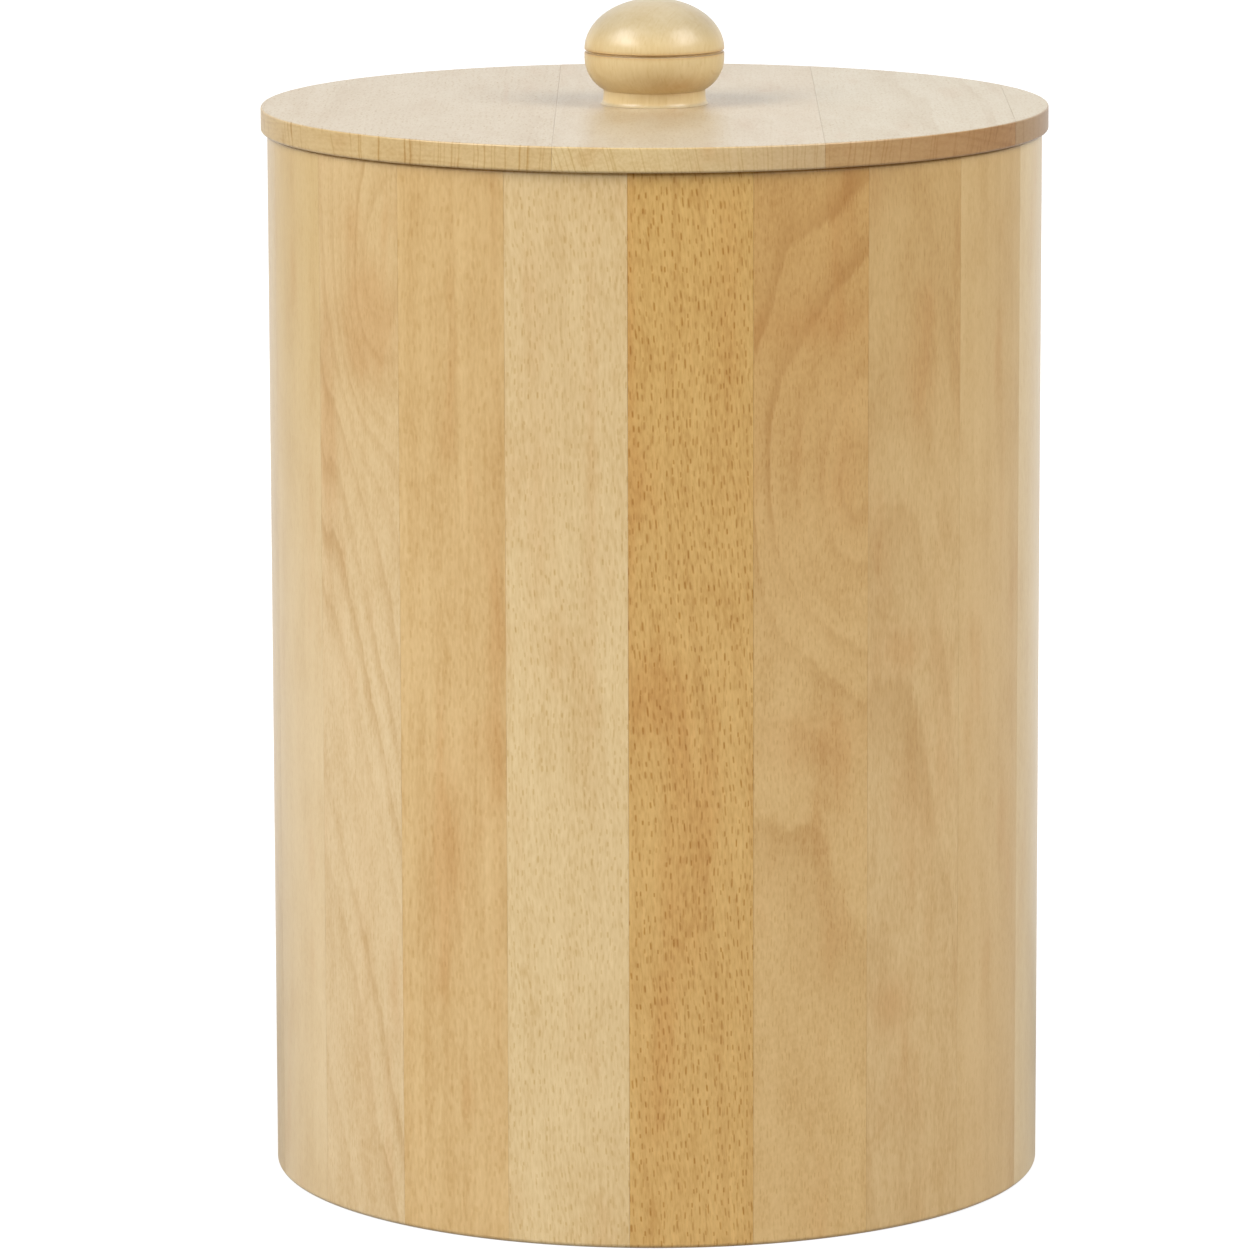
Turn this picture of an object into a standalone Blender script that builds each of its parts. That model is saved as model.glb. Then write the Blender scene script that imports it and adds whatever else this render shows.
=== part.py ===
"""A lidded bathroom bin, coopered from beech staves and turned on a lathe.

Metres, +Z up. The origin is the centre of the base, and the photographed front faces -Y.
Angles round the body count from the front, positive towards +X.
"""

from math import asin, atan2, cos, pi, radians, sin, sqrt

import bmesh
import bpy

# Body, a ring of glued staves
BODY_RADIUS = 0.098
BODY_HEIGHT = 0.2666
WALL = 0.009
STAVE_COUNT = 20
FRONT_JOINT_ANGLE = radians(-3.9)
FOOT_ARRIS = 0.0012
RIM_ARRIS = 0.0008

# Bottom panel, held in a groove cut round the inside of the staves
GROOVE_HEIGHT = 0.012
GROOVE_DEPTH = 0.004
PANEL_THICKNESS = 0.006
PANEL_ARRIS = 0.0005

# Lid, glued from boards that run front to back, with a disc below that finds the mouth
LID_THICKNESS = 0.0063
LID_OVERHANG = 0.0016
LID_TOP_ARRIS = 0.0005
LID_LOWER_ARRIS = 0.0007
LID_LEFT_JOINT = -0.0248
LID_BOARD_WIDTH = 0.066
LID_EDGE_STRIP = 0.0102
DISC_THICKNESS = 0.006
DISC_ARRIS = 0.001
DISC_CLEARANCE = 0.001

# Knob, one turned piece: a foot, a bowl, a straight band, a fine groove and a dome
KNOB_RADIUS = 0.0177
KNOB_UNDERCUT = 0.0048
KNOB_FOOT_FLARE = 0.0004
KNOB_FOOT_HEIGHT = 0.0033
KNOB_BOWL_CURVE = 0.0094
KNOB_BAND_HEIGHT = 0.0013
KNOB_GROOVE_DEPTH = 0.0004
KNOB_GROOVE_WIDTH = 0.0007
KNOB_DOME_HEIGHT = 0.0128

# Wood screw, up through the disc and the lid into the knob
SCREW_RADIUS = 0.002
SCREW_HEAD_RADIUS = 0.004
SCREW_HEAD_SINK = 0.0004
SCREW_GRIP = 0.010
SCREW_POINT = 0.003
RECESS_WIDTH = 0.0009
RECESS_SPAN = 0.0046
RECESS_DEPTH = 0.0018
RECESS_TAPER = 0.4

# Clearances: what the glue line or seat takes between two faces
GLUE_GAP = 0.0003
SEAT_GAP = 0.0003
SCREW_GAP = 0.0003

# How finely round shapes are faceted
STAVE_FACETS = 6
DISC_FACETS = 120
KNOB_FACETS = 48
SCREW_FACETS = 24
ARRIS_STEPS = 2
BOWL_STEPS = 7
DOME_STEPS = 10
SHARP_ANGLE = radians(32)
SAME_POINT = 1e-7

# Sizes that follow from those above
STAVE_ANGLE = 2 * pi / STAVE_COUNT
INNER_RADIUS = BODY_RADIUS - WALL
PANEL_RADIUS = INNER_RADIUS + GROOVE_DEPTH - SEAT_GAP
PANEL_Z = GROOVE_HEIGHT + SEAT_GAP
GROOVE_TOP = PANEL_Z + PANEL_THICKNESS + SEAT_GAP
LID_RADIUS = BODY_RADIUS + LID_OVERHANG
LID_Z = BODY_HEIGHT + SEAT_GAP
DISC_RADIUS = INNER_RADIUS - DISC_CLEARANCE
DISC_TOP = LID_Z - SEAT_GAP
DISC_Z = DISC_TOP - DISC_THICKNESS
KNOB_Z = LID_Z + LID_THICKNESS + SEAT_GAP
KNOB_FOOT_RADIUS = KNOB_RADIUS - KNOB_UNDERCUT
KNOB_BOWL_REACH = KNOB_BOWL_CURVE - KNOB_UNDERCUT
KNOB_BOWL_RISE = sqrt(KNOB_BOWL_CURVE**2 - KNOB_BOWL_REACH**2)
SCREW_HEAD_DEPTH = SCREW_HEAD_RADIUS - SCREW_RADIUS
SCREW_HOLE_RADIUS = SCREW_RADIUS + SCREW_GAP
SCREW_Z = DISC_Z + SCREW_HEAD_SINK

# Beech colours, linear RGB, one for each tone of board
BEECH_PALE = (0.62, 0.45, 0.25)
BEECH_TAN = (0.56, 0.37, 0.19)
BEECH_HONEY = (0.51, 0.31, 0.12)
BEECH_BROWN = (0.48, 0.30, 0.14)
BEECH_PANEL = (0.60, 0.43, 0.25)
STEEL = (0.56, 0.55, 0.53)
LACQUER_ROUGHNESS = 0.36
PANEL_ROUGHNESS = 0.5
STEEL_ROUGHNESS = 0.35

# The tones of the staves in turn, from the one at the front and on towards +X and round the back
STAVE_TONES = (
    "honey", "brown", "brown", "tan", "pale", "tan", "pale", "honey", "tan", "pale",
    "brown", "tan", "pale", "tan", "brown", "pale", "pale", "tan", "tan", "pale",
)


def clear_scene():
    for obj in list(bpy.data.objects):
        bpy.data.objects.remove(obj, do_unlink=True)


def surface(name, colour, roughness, metallic=0.0):
    """A material with one colour, roughness and metallic value."""
    material = bpy.data.materials.new(name)
    material.use_nodes = True
    shader = material.node_tree.nodes["Principled BSDF"]
    shader.inputs["Base Color"].default_value = (*colour, 1.0)
    shader.inputs["Roughness"].default_value = roughness
    shader.inputs["Metallic"].default_value = metallic
    material.diffuse_color = (*colour, 1.0)
    return material


def empty(name, z):
    """A parent on the object's axis, at a height above the base."""
    parent = bpy.data.objects.new(name, None)
    parent.location.z = z
    parent.empty_display_size = BODY_RADIUS
    bpy.context.collection.objects.link(parent)
    return parent


def mesh_of(name, bm):
    """Turns the built shape into mesh data, faces out, smooth but for its arrises."""
    bmesh.ops.remove_doubles(bm, verts=bm.verts, dist=SAME_POINT)
    bmesh.ops.recalc_face_normals(bm, faces=bm.faces)
    mesh = bpy.data.meshes.new(name)
    bm.to_mesh(mesh)
    bm.free()
    mesh.shade_smooth()
    mesh.set_sharp_from_angle(angle=SHARP_ANGLE)
    return mesh


def piece(name, mesh, material, parent, z=0.0, angle=0.0):
    """Places one sub-part: z above the base, turned about the object's axis."""
    obj = bpy.data.objects.new(name, mesh)
    bpy.context.collection.objects.link(obj)
    if not mesh.materials:
        mesh.materials.append(material)
    obj.material_slots[0].link = "OBJECT"
    obj.material_slots[0].material = material
    obj.parent = parent
    obj.location.z = z - parent.location.z
    obj.rotation_euler.z = angle
    return obj


def arc(centre, radius, start, end, steps):
    """Points (r, z) along an arc of a turned profile, its ends included."""
    points = []
    for step in range(steps + 1):
        angle = start + (end - start) * step / steps
        points.append((centre[0] + radius * cos(angle), centre[1] + radius * sin(angle)))
    return points


def rounded_corner(r, z, size, out_r, out_z):
    """Points of a rounded arris whose corner is at (r, z), on the side that out_r and out_z point to.

    The points run from the face across the axis, which the corner ends, to the face along it.
    """
    centre = (r - out_r * size, z - out_z * size)
    across = atan2(out_z, 0)
    along = 0 if out_r > 0 else (pi if out_z > 0 else -pi)
    return arc(centre, size, across, along, ARRIS_STEPS)


def turned(profile, facets):
    """Revolves a profile of (r, z) points about the Z axis. One that doesn't start on the axis is closed."""
    bm = bmesh.new()
    verts = [bm.verts.new((0, -r, z)) for r, z in profile]
    edges = [bm.edges.new(pair) for pair in zip(verts, verts[1:])]
    if profile[0][0] > 0:
        edges.append(bm.edges.new((verts[-1], verts[0])))
    bmesh.ops.spin(
        bm, geom=verts + edges, axis=(0, 0, 1), cent=(0, 0, 0), angle=2 * pi, steps=facets, use_merge=True
    )
    bmesh.ops.remove_doubles(bm, verts=bm.verts, dist=SAME_POINT)
    return bm


def stave_section():
    """The wall's section, anticlockwise from the foot's outer arris, with the groove for the panel."""
    groove_radius = INNER_RADIUS + GROOVE_DEPTH
    outer_foot = rounded_corner(BODY_RADIUS, 0, FOOT_ARRIS, 1, -1)
    outer_rim = rounded_corner(BODY_RADIUS, BODY_HEIGHT, RIM_ARRIS, 1, 1)
    inner_rim = rounded_corner(INNER_RADIUS, BODY_HEIGHT, RIM_ARRIS, -1, 1)
    inner_foot = rounded_corner(INNER_RADIUS, 0, RIM_ARRIS, -1, -1)
    groove = [
        (INNER_RADIUS, GROOVE_TOP),
        (groove_radius, GROOVE_TOP),
        (groove_radius, GROOVE_HEIGHT),
        (INNER_RADIUS, GROOVE_HEIGHT),
    ]
    return outer_foot + outer_rim[::-1] + inner_rim + groove + inner_foot[::-1]


def stave_mesh():
    """One stave: the wall's section, swept between two mitred faces that each leave half a glue line."""
    bm = bmesh.new()
    section = stave_section()
    rings = []
    for step in range(STAVE_FACETS + 1):
        share = 2 * step / STAVE_FACETS - 1
        ring = []
        for r, z in section:
            angle = share * (STAVE_ANGLE / 2 - asin(GLUE_GAP / 2 / r))
            ring.append(bm.verts.new((r * sin(angle), -r * cos(angle), z)))
        rings.append(ring)
    for ring, following in zip(rings, rings[1:]):
        for corner in range(len(section)):
            before = corner - 1
            bm.faces.new((ring[before], ring[corner], following[corner], following[before]))
    bm.faces.new(rings[0])
    bm.faces.new(rings[-1])
    return mesh_of("stave", bm)


def add_staves(parent, tones):
    """The ring of staves, from the one just right of the front joint and on towards +X."""
    mesh = stave_mesh()
    for index in range(STAVE_COUNT):
        angle = FRONT_JOINT_ANGLE + (index + 0.5) * STAVE_ANGLE
        tone = tones[STAVE_TONES[index % len(STAVE_TONES)]]
        piece(f"stave_{index + 1:02d}", mesh, tone, parent, angle=angle)


def disc_section(radius, thickness, lower_arris, upper_arris, hole=()):
    """A turned disc's section, from its upper face round the rim, and back along a hole if there is one."""
    lower = rounded_corner(radius, 0, lower_arris, 1, -1)
    upper = rounded_corner(radius, thickness, upper_arris, 1, 1)
    if hole:
        return [(hole[-1][0], thickness)] + upper + lower[::-1] + list(hole[:-1])
    return [(0, thickness)] + upper + lower[::-1] + [(0, 0)]


def add_bottom_panel(parent, material):
    section = disc_section(PANEL_RADIUS, PANEL_THICKNESS, PANEL_ARRIS, PANEL_ARRIS)
    mesh = mesh_of("bottom_panel", turned(section, DISC_FACETS))
    piece("bottom_panel", mesh, material, parent, z=PANEL_Z)


def cut_away(bm, x, side):
    """Cuts what lies beyond x on one side, and closes the sawn face."""
    cut = bmesh.ops.bisect_plane(
        bm,
        geom=bm.verts[:] + bm.edges[:] + bm.faces[:],
        dist=SAME_POINT,
        plane_co=(x, 0, 0),
        plane_no=(side, 0, 0),
        clear_outer=True,
    )
    edges = [item for item in cut["geom_cut"] if isinstance(item, bmesh.types.BMEdge)]
    bmesh.ops.edgeloop_fill(bm, edges=edges)


def lid_joints():
    """The x of each glued joint in the lid: the wide boards by width, and a narrow strip at the right rim."""
    return (LID_LEFT_JOINT, LID_LEFT_JOINT + LID_BOARD_WIDTH, LID_RADIUS - LID_EDGE_STRIP)


def screw_hole_cutter():
    """A round cutter for the screw's hole through the lid boards, hidden in renders."""
    length = LID_THICKNESS + 4 * SEAT_GAP
    section = [(0, length), (SCREW_HOLE_RADIUS, length), (SCREW_HOLE_RADIUS, 0), (0, 0)]
    mesh = mesh_of("screw_hole_cutter", turned(section, SCREW_FACETS))
    cutter = bpy.data.objects.new("screw_hole_cutter", mesh)
    cutter.location.z = LID_Z - 2 * SEAT_GAP
    cutter.hide_render = True
    cutter.display_type = "WIRE"
    bpy.context.collection.objects.link(cutter)
    return cutter


def add_lid_boards(parent, materials):
    """The lid's round blank, turned whole and then cut along its glued joints."""
    section = disc_section(LID_RADIUS, LID_THICKNESS, LID_LOWER_ARRIS, LID_TOP_ARRIS)
    joints = lid_joints()
    lows = (None, *joints)
    highs = (*joints, None)
    cutter = screw_hole_cutter()
    for index, (low, high) in enumerate(zip(lows, highs)):
        bm = turned(section, DISC_FACETS)
        if low is not None:
            cut_away(bm, low + GLUE_GAP / 2, -1)
        if high is not None:
            cut_away(bm, high - GLUE_GAP / 2, 1)
        name = f"lid_board_{index + 1}"
        board = piece(name, mesh_of(name, bm), materials[index], parent, z=LID_Z)
        starts_left = low is None or low < SCREW_HOLE_RADIUS
        ends_right = high is None or high > -SCREW_HOLE_RADIUS
        if starts_left and ends_right:
            hole = board.modifiers.new("screw_hole", "BOOLEAN")
            hole.object = cutter
            hole.solver = "EXACT"


def add_lid_disc(parent, material):
    """The disc under the lid, with a countersunk hole for the knob's screw."""
    countersink = SCREW_HEAD_RADIUS + SCREW_GAP
    hole = (
        (countersink, 0),
        (countersink, SCREW_HEAD_SINK),
        (SCREW_HOLE_RADIUS, SCREW_HEAD_SINK + SCREW_HEAD_DEPTH),
        (SCREW_HOLE_RADIUS, DISC_THICKNESS),
    )
    section = disc_section(DISC_RADIUS, DISC_THICKNESS, DISC_ARRIS, PANEL_ARRIS, hole)
    mesh = mesh_of("lid_locating_disc", turned(section, DISC_FACETS))
    piece("lid_locating_disc", mesh, material, parent, z=DISC_Z)


def knob_section():
    """The knob's profile, from the top of the dome down the outside, and up the pilot hole."""
    bowl_top = KNOB_FOOT_HEIGHT + KNOB_BOWL_RISE
    groove_z = bowl_top + KNOB_BAND_HEIGHT
    dome_z = groove_z + KNOB_GROOVE_WIDTH
    dome = [(0, dome_z + KNOB_DOME_HEIGHT)]
    for step in range(1, DOME_STEPS + 1):
        angle = pi / 2 * (1 - step / DOME_STEPS)
        dome.append((KNOB_RADIUS * cos(angle), dome_z + KNOB_DOME_HEIGHT * sin(angle)))
    groove_root = (KNOB_RADIUS - KNOB_GROOVE_DEPTH, groove_z + KNOB_GROOVE_WIDTH / 2)
    groove = [groove_root, (KNOB_RADIUS, groove_z)]
    bowl_centre = (KNOB_RADIUS - KNOB_BOWL_CURVE, bowl_top)
    bowl_end = -atan2(KNOB_BOWL_RISE, KNOB_BOWL_REACH)
    bowl = arc(bowl_centre, KNOB_BOWL_CURVE, 0, bowl_end, BOWL_STEPS)
    foot = [(KNOB_FOOT_RADIUS, KNOB_FOOT_HEIGHT / 2), (KNOB_FOOT_RADIUS + KNOB_FOOT_FLARE, 0)]
    pilot_top = SCREW_GRIP + SCREW_GAP
    pilot = [
        (SCREW_HOLE_RADIUS, 0),
        (SCREW_HOLE_RADIUS, pilot_top),
        (0, pilot_top + SCREW_HOLE_RADIUS),
    ]
    return dome + groove + bowl + foot + pilot


def add_knob(parent, material):
    mesh = mesh_of("knob", turned(knob_section(), KNOB_FACETS))
    piece("knob", mesh, material, parent, z=KNOB_Z)


def recess_cutter():
    """A tapering cross that sinks the driver's recess into the screw's head, hidden in renders."""
    half = RECESS_WIDTH / 2
    span = RECESS_SPAN / 2
    quarter = [(span, -half), (span, half), (half, half)]
    outline = []
    for turn in range(4):
        angle = turn * pi / 2
        for x, y in quarter:
            outline.append((x * cos(angle) - y * sin(angle), x * sin(angle) + y * cos(angle)))
    bm = bmesh.new()
    mouth = [bm.verts.new((x, y, -SCREW_HEAD_SINK)) for x, y in outline]
    root = [bm.verts.new((x * RECESS_TAPER, y * RECESS_TAPER, RECESS_DEPTH)) for x, y in outline]
    for corner in range(len(outline)):
        before = corner - 1
        bm.faces.new((mouth[before], mouth[corner], root[corner], root[before]))
    bm.faces.new(mouth)
    bm.faces.new(root)
    cutter = bpy.data.objects.new("screw_recess_cutter", mesh_of("screw_recess_cutter", bm))
    cutter.location.z = SCREW_Z
    cutter.hide_render = True
    cutter.display_type = "WIRE"
    bpy.context.collection.objects.link(cutter)
    return cutter


def add_screw(parent, material):
    """A countersunk wood screw: its head in the disc, its shank through the lid, its point in the knob."""
    length = KNOB_Z + SCREW_GRIP - SCREW_Z
    section = [
        (0, length),
        (SCREW_RADIUS, length - SCREW_POINT),
        (SCREW_RADIUS, SCREW_HEAD_DEPTH),
        (SCREW_HEAD_RADIUS, 0),
        (0, 0),
    ]
    mesh = mesh_of("knob_screw", turned(section, SCREW_FACETS))
    screw = piece("knob_screw", mesh, material, parent, z=SCREW_Z)
    recess = screw.modifiers.new("recess", "BOOLEAN")
    recess.object = recess_cutter()
    recess.solver = "EXACT"


def build():
    clear_scene()
    tones = {
        "pale": surface("beech_pale", BEECH_PALE, LACQUER_ROUGHNESS),
        "tan": surface("beech_tan", BEECH_TAN, LACQUER_ROUGHNESS),
        "honey": surface("beech_honey", BEECH_HONEY, LACQUER_ROUGHNESS),
        "brown": surface("beech_brown", BEECH_BROWN, LACQUER_ROUGHNESS),
    }
    panel = surface("beech_panel", BEECH_PANEL, PANEL_ROUGHNESS)
    steel = surface("screw_steel", STEEL, STEEL_ROUGHNESS, metallic=1.0)
    body_axis = empty("bin_axis", 0)
    lid_axis = empty("lid_lift_axis", LID_Z)
    add_staves(body_axis, tones)
    add_bottom_panel(body_axis, panel)
    add_lid_boards(lid_axis, (tones["pale"], tones["tan"], tones["pale"], tones["tan"]))
    add_lid_disc(lid_axis, panel)
    add_knob(lid_axis, tones["pale"])
    add_screw(lid_axis, steel)


build()
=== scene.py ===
"""Looks of the coopered beech bin: fine turned pieces in solid beech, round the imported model."""

from math import asin, atan2, cos, pi, radians, sin, sqrt

import bmesh
import bpy
from mathutils import Matrix, Vector


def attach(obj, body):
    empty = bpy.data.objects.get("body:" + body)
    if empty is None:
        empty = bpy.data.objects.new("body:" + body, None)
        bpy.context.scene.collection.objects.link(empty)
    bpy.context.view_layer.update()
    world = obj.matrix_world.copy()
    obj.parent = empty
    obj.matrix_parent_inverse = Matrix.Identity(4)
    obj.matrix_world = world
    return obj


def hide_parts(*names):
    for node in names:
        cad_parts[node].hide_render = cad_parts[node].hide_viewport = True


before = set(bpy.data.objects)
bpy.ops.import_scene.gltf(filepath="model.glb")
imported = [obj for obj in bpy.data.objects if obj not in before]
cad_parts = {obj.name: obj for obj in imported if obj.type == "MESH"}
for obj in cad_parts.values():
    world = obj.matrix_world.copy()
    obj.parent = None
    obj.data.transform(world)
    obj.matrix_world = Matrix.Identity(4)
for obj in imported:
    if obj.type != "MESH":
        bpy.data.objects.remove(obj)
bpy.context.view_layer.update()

MM_PER_METRE = 1000.0
FULL_TURN = 2 * pi

# Sizes of the solids, in metres, which the fine pieces follow
BODY_RADIUS = 0.098
BODY_HEIGHT = 0.2666
WALL = 0.009
STAVE_COUNT = 20
FRONT_JOINT_ANGLE = radians(-3.9)
STAVE_ANGLE = FULL_TURN / STAVE_COUNT
FOOT_ARRIS = 0.0012
RIM_ARRIS = 0.0008
INNER_RADIUS = BODY_RADIUS - WALL
GROOVE_HEIGHT = 0.012
GROOVE_DEPTH = 0.004
PANEL_THICKNESS = 0.006
PANEL_ARRIS = 0.0005
SEAT_GAP = 0.0003
PANEL_RADIUS = INNER_RADIUS + GROOVE_DEPTH - SEAT_GAP
PANEL_Z = GROOVE_HEIGHT + SEAT_GAP
GROOVE_TOP = PANEL_Z + PANEL_THICKNESS + SEAT_GAP
LID_RADIUS = 0.0996
LID_THICKNESS = 0.0063
LID_TOP_ARRIS = 0.0005
LID_LOWER_ARRIS = 0.0007
LID_Z = BODY_HEIGHT + SEAT_GAP
LID_JOINTS = (-0.0248, 0.0412, 0.0894)
DISC_THICKNESS = 0.006
DISC_ARRIS = 0.001
DISC_RADIUS = INNER_RADIUS - 0.001
DISC_Z = BODY_HEIGHT - DISC_THICKNESS
KNOB_Z = LID_Z + LID_THICKNESS + SEAT_GAP
KNOB_RADIUS = 0.0177
KNOB_UNDERCUT = 0.0048
KNOB_FOOT_FLARE = 0.0004
KNOB_FOOT_HEIGHT = 0.0033
KNOB_BOWL_CURVE = 0.0094
KNOB_BAND_HEIGHT = 0.0013
KNOB_GROOVE_DEPTH = 0.0004
KNOB_GROOVE_WIDTH = 0.0007
KNOB_GROOVE_LIP = 0.00012
KNOB_DOME_HEIGHT = 0.0128
SCREW_HOLE_RADIUS = 0.0023
COUNTERSINK_RADIUS = 0.0043
COUNTERSINK_FLAT = 0.0004
COUNTERSINK_DEPTH = 0.0024
PILOT_DEPTH = 0.0103

# The fine pieces' own seats: sanded glue lines, the rim up to the lid, and the knob down on it in lacquer
GLUE_GAP = 0.00004
RIM_SEAT = 0.00026
KNOB_SEAT = 0.00026
LACQUER_BEAD = 0.0004
STAVE_FACETS = 24
DISC_FACETS = 480
KNOB_FACETS = 160
ARRIS_STEPS = 6
DOME_STEPS = 48
BOWL_STEPS = 24
FOOT_STEPS = 12
BEAD_START = 0.75
SAME_POINT = 1e-7
SHARP_ANGLE = radians(34)
NORMAL_WEIGHT = 100


def arc(centre, radius, start, end, steps):
    """Points (r, z) along an arc of a turned profile, its ends included."""
    points = []
    for step in range(steps + 1):
        angle = start + (end - start) * step / steps
        points.append((centre[0] + radius * cos(angle), centre[1] + radius * sin(angle)))
    return points


def rounded_corner(r, z, size, out_r, out_z):
    """Points of a rounded arris at (r, z), from the face across the axis to the face along it."""
    centre = (r - out_r * size, z - out_z * size)
    across = atan2(out_z, 0)
    along = 0 if out_r > 0 else (pi if out_z > 0 else -pi)
    return arc(centre, size, across, along, ARRIS_STEPS)


def mesh_of(name, bm):
    """The finished mesh, smooth but for its sharp edges."""
    bmesh.ops.remove_doubles(bm, verts=bm.verts, dist=SAME_POINT)
    bmesh.ops.recalc_face_normals(bm, faces=bm.faces)
    mesh = bpy.data.meshes.new(name)
    bm.to_mesh(mesh)
    bm.free()
    mesh.shade_smooth()
    mesh.set_sharp_from_angle(angle=SHARP_ANGLE)
    return mesh


def join_rings(bm, ring, following):
    """Faces between two rows of vertices, triangles where both rows share a vertex."""
    for corner in range(len(ring)):
        loop = (ring[corner - 1], ring[corner], following[corner], following[corner - 1])
        distinct = list(dict.fromkeys(loop))
        if len(distinct) > 2:
            bm.faces.new(distinct)


def turned(profile, facets):
    """Revolves a closed profile of (r, z) points about the Z axis. Points on the axis are made once."""
    bm = bmesh.new()
    on_axis = {point: bm.verts.new((0, 0, point[1])) for point in profile if point[0] == 0}
    rings = []
    for step in range(facets):
        angle = FULL_TURN * step / facets
        ring = []
        for r, z in profile:
            if (r, z) in on_axis:
                ring.append(on_axis[(r, z)])
            else:
                ring.append(bm.verts.new((r * sin(angle), -r * cos(angle), z)))
        rings.append(ring)
    for step in range(facets):
        join_rings(bm, rings[step - 1], rings[step])
    return bm


def stand_in(name, mesh, material, body, node, z=0.0, angle=0.0):
    """Places a fine piece, which moves with its body and stands for its solid."""
    obj = bpy.data.objects.new(name, mesh)
    bpy.context.scene.collection.objects.link(obj)
    obj.data.materials.append(material)
    obj.location.z = z
    obj.rotation_euler.z = angle
    weighted = obj.modifiers.new("face_weighted_normals", "WEIGHTED_NORMAL")
    weighted.keep_sharp = True
    weighted.weight = NORMAL_WEIGHT
    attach(obj, body)
    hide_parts(node)


def stave_mesh(name):
    """One stave: the wall's section, swept between its two mitred faces."""
    groove_radius = INNER_RADIUS + GROOVE_DEPTH
    groove = [
        (INNER_RADIUS, GROOVE_TOP),
        (groove_radius, GROOVE_TOP),
        (groove_radius, GROOVE_HEIGHT),
        (INNER_RADIUS, GROOVE_HEIGHT),
    ]
    section = rounded_corner(BODY_RADIUS, 0, FOOT_ARRIS, 1, -1)
    section += rounded_corner(BODY_RADIUS, BODY_HEIGHT + RIM_SEAT, RIM_ARRIS, 1, 1)[::-1]
    section += rounded_corner(INNER_RADIUS, BODY_HEIGHT + RIM_SEAT, RIM_ARRIS, -1, 1)
    section += groove
    section += rounded_corner(INNER_RADIUS, 0, RIM_ARRIS, -1, -1)[::-1]
    bm = bmesh.new()
    rings = []
    for step in range(STAVE_FACETS + 1):
        share = 2 * step / STAVE_FACETS - 1
        ring = []
        for r, z in section:
            angle = share * (STAVE_ANGLE / 2 - asin(GLUE_GAP / 2 / r))
            ring.append(bm.verts.new((r * sin(angle), -r * cos(angle), z)))
        rings.append(ring)
    for ring, following in zip(rings, rings[1:]):
        join_rings(bm, ring, following)
    bm.faces.new(rings[0])
    bm.faces.new(rings[-1])
    return mesh_of(name, bm)


def disc_section(radius, thickness, lower_arris, upper_arris, hole=()):
    """Half the section of a disc, down to the axis, or to a hole that is given by its own points."""
    lower = rounded_corner(radius, 0, lower_arris, 1, -1)
    upper = rounded_corner(radius, thickness, upper_arris, 1, 1)
    middle = list(hole) or [(0, 0), (0, thickness)]
    return upper + lower[::-1] + middle


def cut_away(bm, x, side):
    """Cuts what lies beyond x on one side, and closes the sawn face."""
    cut = bmesh.ops.bisect_plane(
        bm,
        geom=bm.verts[:] + bm.edges[:] + bm.faces[:],
        dist=SAME_POINT,
        plane_co=(x, 0, 0),
        plane_no=(side, 0, 0),
        clear_outer=True,
    )
    edges = [item for item in cut["geom_cut"] if isinstance(item, bmesh.types.BMEdge)]
    bmesh.ops.edgeloop_fill(bm, edges=edges)


def lid_board_mesh(name, low, high):
    """The lid's round blank, turned whole and then cut along its glued joints."""
    hole = ((SCREW_HOLE_RADIUS, 0), (SCREW_HOLE_RADIUS, LID_THICKNESS))
    section = disc_section(LID_RADIUS, LID_THICKNESS, LID_LOWER_ARRIS, LID_TOP_ARRIS, hole)
    bm = turned(section, DISC_FACETS)
    if low is not None:
        cut_away(bm, low + GLUE_GAP / 2, -1)
    if high is not None:
        cut_away(bm, high - GLUE_GAP / 2, 1)
    return mesh_of(name, bm)


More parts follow.
